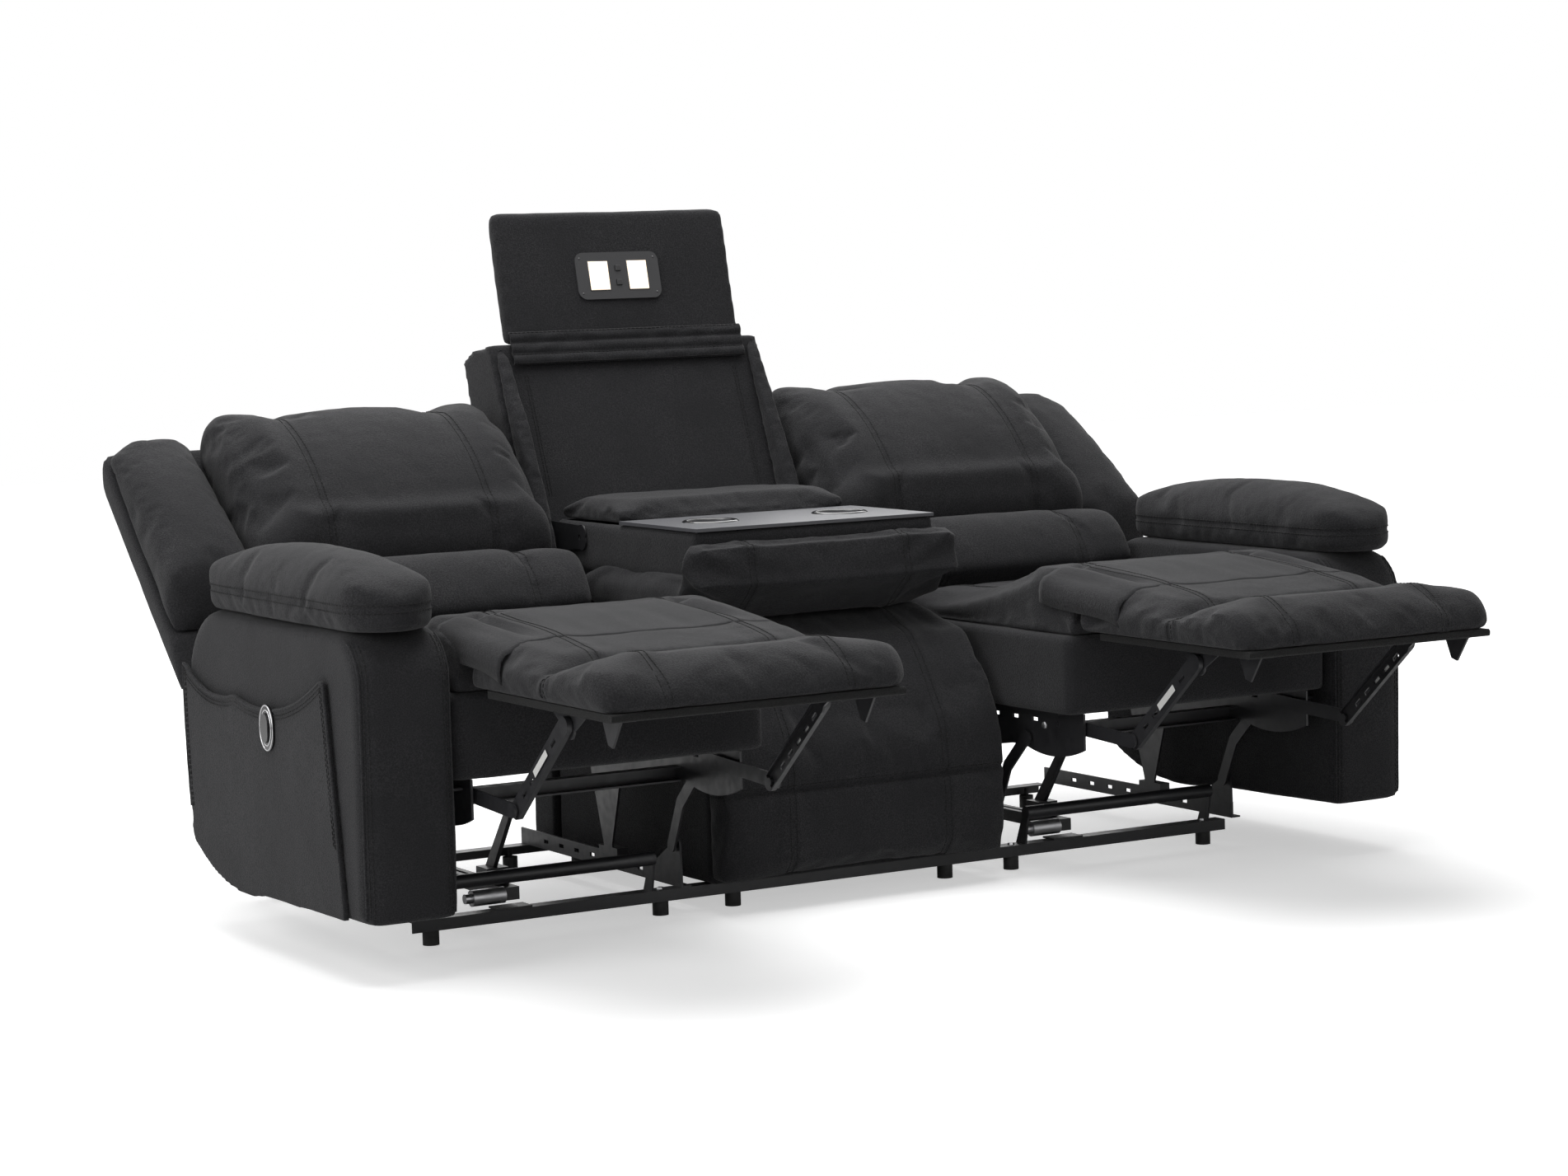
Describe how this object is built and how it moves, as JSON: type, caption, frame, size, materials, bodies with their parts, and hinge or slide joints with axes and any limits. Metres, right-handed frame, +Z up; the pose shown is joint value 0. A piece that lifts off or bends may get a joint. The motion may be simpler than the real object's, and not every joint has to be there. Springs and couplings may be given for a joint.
{
  "type": "reclining sofa with drop down console",
  "caption": "Powered reclining sofa with a fold-down console in the middle seat, extended footrests, leaning end backs and a lamp panel that folds over the recess",
  "frame": {"origin": "Bottom centre of the box round the whole sofa in its pictured pose, on the floor", "axes": "+X runs across the sofa to the right of a person who looks at its front, +Y to its back, +Z up"},
  "size_m": [2.108, 1.6546, 1.2221],
  "materials": {
    "dark_fabric": "suede-like upholstery with a fine pebble",
    "board_cloth": "thin black cloth over board",
    "black_steel": "satin black paint",
    "grey_steel": "dark grey paint",
    "motor_silver": "plain zinc-plated can",
    "switch_plastic": "fine matte",
    "switch_ring": "bright plated ring",
    "tray_grey": "moulded, fine texture",
    "foot_rubber": "moulded rubber",
    "light_frame": "dark gloss",
    "lamp_lens": "ribbed, lit warm"
  },
  "bodies": {
    "base": {"front_rail": "black_steel", "base_side_rails": "black_steel", "feet": "foot_rubber", "front_tubes": "black_steel", "motor_cans": "motor_silver", "gearboxes": "switch_plastic", "mid_seat_box": "dark_fabric", "mid_seat_cushion": "dark_fabric", "mid_back_shell": "dark_fabric", "mid_back_wings": "dark_fabric", "console_hinge_plates": "black_steel"},
    "console": {"console_box": "dark_fabric", "console_tray": "tray_grey", "console_cushion": "dark_fabric"},
    "storage_lid": {"console_lid": "dark_fabric"},
    "head": {"head_panel": "dark_fabric", "light_plate": "light_frame", "lamp_lenses": "lamp_lens"},
    "upper_light_switch": {"light_switch_upper": "switch_plastic"},
    "lower_light_switch": {"light_switch_lower": "switch_plastic"},
    "left_carriage": {"left_seat_frame": "grey_steel", "left_seat_box": "dark_fabric", "left_seat_cushion": "dark_fabric", "left_arm_body": "dark_fabric", "left_arm_side_panel": "dark_fabric", "left_arm_pad": "dark_fabric", "left_switch_bezel": "switch_ring"},
    "left_button": {"left_switch_button": "switch_plastic"},
    "left_back": {"left_back_shell": "dark_fabric", "left_back_wing": "dark_fabric", "left_back_pillow": "dark_fabric", "left_lumbar_roll": "dark_fabric", "left_back_brackets": "grey_steel"},
    "left_footrest": {"left_footrest_pad": "dark_fabric", "left_footrest_board": "board_cloth", "left_footrest_brackets": "grey_steel"},
    "left_swing_links": {"left_swing_links": "black_steel"},
    "left_lower_links": {"left_lower_links": "black_steel"},
    "left_upper_links": {"left_upper_links": "grey_steel"},
    "right_carriage": {"right_seat_frame": "grey_steel", "right_seat_box": "dark_fabric", "right_seat_cushion": "dark_fabric", "right_arm_body": "dark_fabric", "right_arm_side_panel": "dark_fabric", "right_arm_pad": "dark_fabric", "right_switch_bezel": "switch_ring"},
    "right_button": {"right_switch_button": "switch_plastic"},
    "right_back": {"right_back_shell": "dark_fabric", "right_back_wing": "dark_fabric", "right_back_pillow": "dark_fabric", "right_lumbar_roll": "dark_fabric", "right_back_brackets": "grey_steel"},
    "right_footrest": {"right_footrest_pad": "dark_fabric", "right_footrest_board": "board_cloth", "right_footrest_brackets": "grey_steel"},
    "right_swing_links": {"right_swing_links": "black_steel"},
    "right_lower_links": {"right_lower_links": "black_steel"},
    "right_upper_links": {"right_upper_links": "grey_steel"}
  },
  "joints": [
    {"name": "left_carriage_slide", "type": "slide", "parent": "base", "child": "left_carriage", "axis": [0, -1, 0], "range_m": [-0.2, 0]},
    {"name": "left_back_hinge", "type": "hinge", "parent": "left_carriage", "child": "left_back", "pos_m": [-0.5875, 0.26952, 0.4], "axis": [-1, 0, 0], "range_deg": [-24, 0]},
    {"name": "left_swing_hinge", "type": "hinge", "parent": "base", "child": "left_swing_links", "pos_m": [-0.5875, -0.05049, 0.118], "axis": [1, 0, 0], "range_deg": [-72.65, 0]},
    {"name": "left_footrest_hinge", "type": "hinge", "parent": "left_carriage", "child": "left_footrest", "pos_m": [-0.5875, -0.38099, 0.4875], "axis": [-1, 0, 0], "range_deg": [-90, 0]},
    {"name": "left_lower_link_hinge", "type": "hinge", "parent": "left_carriage", "child": "left_lower_links", "pos_m": [-0.5875, -0.23849, 0.286], "axis": [-1, 0, 0], "range_deg": [-115.1, 0]},
    {"name": "left_upper_link_hinge", "type": "hinge", "parent": "left_footrest", "child": "left_upper_links", "pos_m": [-0.5875, -0.62548, 0.424], "axis": [1, 0, 0], "range_deg": [-88.49, 0]},
    {"name": "left_button_press", "type": "slide", "parent": "left_carriage", "child": "left_button", "axis": [1, 0, 0], "range_m": [0, 0.0015], "stiffness_N_per_m": 900},
    {"name": "right_carriage_slide", "type": "slide", "parent": "base", "child": "right_carriage", "axis": [0, -1, 0], "range_m": [-0.2, 0]},
    {"name": "right_back_hinge", "type": "hinge", "parent": "right_carriage", "child": "right_back", "pos_m": [0.5875, 0.26952, 0.4], "axis": [-1, 0, 0], "range_deg": [-24, 0]},
    {"name": "right_swing_hinge", "type": "hinge", "parent": "base", "child": "right_swing_links", "pos_m": [0.5875, -0.05049, 0.118], "axis": [1, 0, 0], "range_deg": [-72.65, 0]},
    {"name": "right_footrest_hinge", "type": "hinge", "parent": "right_carriage", "child": "right_footrest", "pos_m": [0.5875, -0.38099, 0.4875], "axis": [-1, 0, 0], "range_deg": [-90, 0]},
    {"name": "right_lower_link_hinge", "type": "hinge", "parent": "right_carriage", "child": "right_lower_links", "pos_m": [0.5875, -0.23849, 0.286], "axis": [-1, 0, 0], "range_deg": [-115.1, 0]},
    {"name": "right_upper_link_hinge", "type": "hinge", "parent": "right_footrest", "child": "right_upper_links", "pos_m": [0.5875, -0.62548, 0.424], "axis": [1, 0, 0], "range_deg": [-88.49, 0]},
    {"name": "right_button_press", "type": "slide", "parent": "right_carriage", "child": "right_button", "axis": [-1, 0, 0], "range_m": [0, 0.0015], "stiffness_N_per_m": 900},
    {"name": "console_hinge", "type": "hinge", "parent": "base", "child": "console", "pos_m": [0, 0.43451, 0.62], "axis": [1, 0, 0], "range_deg": [-111.3, 0]},
    {"name": "storage_lid_hinge", "type": "hinge", "parent": "console", "child": "storage_lid", "pos_m": [0, 0.53551, 0.664], "axis": [-1, 0, 0], "range_deg": [0, 90]},
    {"name": "head_hinge", "type": "hinge", "parent": "base", "child": "head", "pos_m": [0, 0.69951, 0.975], "axis": [-1, 0, 0], "range_deg": [-168, 0]},
    {"name": "upper_light_switch_press", "type": "slide", "parent": "head", "child": "upper_light_switch", "axis": [0, 0.9751, -0.2215], "range_m": [0, 0.001], "stiffness_N_per_m": 600},
    {"name": "lower_light_switch_press", "type": "slide", "parent": "head", "child": "lower_light_switch", "axis": [0, 0.9751, -0.2215], "range_m": [0, 0.001], "stiffness_N_per_m": 600}
  ],
  "couplings": [
    {"joint": "left_back_hinge", "follows": "left_carriage_slide", "rad_per_m": 2.0944},
    {"joint": "left_swing_hinge", "follows": "left_carriage_slide", "rad_per_m": 6.3402},
    {"joint": "left_lower_link_hinge", "follows": "left_footrest_hinge", "ratio": 1.2788},
    {"joint": "left_upper_link_hinge", "follows": "left_footrest_hinge", "ratio": 0.98317},
    {"joint": "right_back_hinge", "follows": "right_carriage_slide", "rad_per_m": 2.0944},
    {"joint": "right_swing_hinge", "follows": "right_carriage_slide", "rad_per_m": 6.3402},
    {"joint": "right_lower_link_hinge", "follows": "right_footrest_hinge", "ratio": 1.2788},
    {"joint": "right_upper_link_hinge", "follows": "right_footrest_hinge", "ratio": 0.98317}
  ]
}
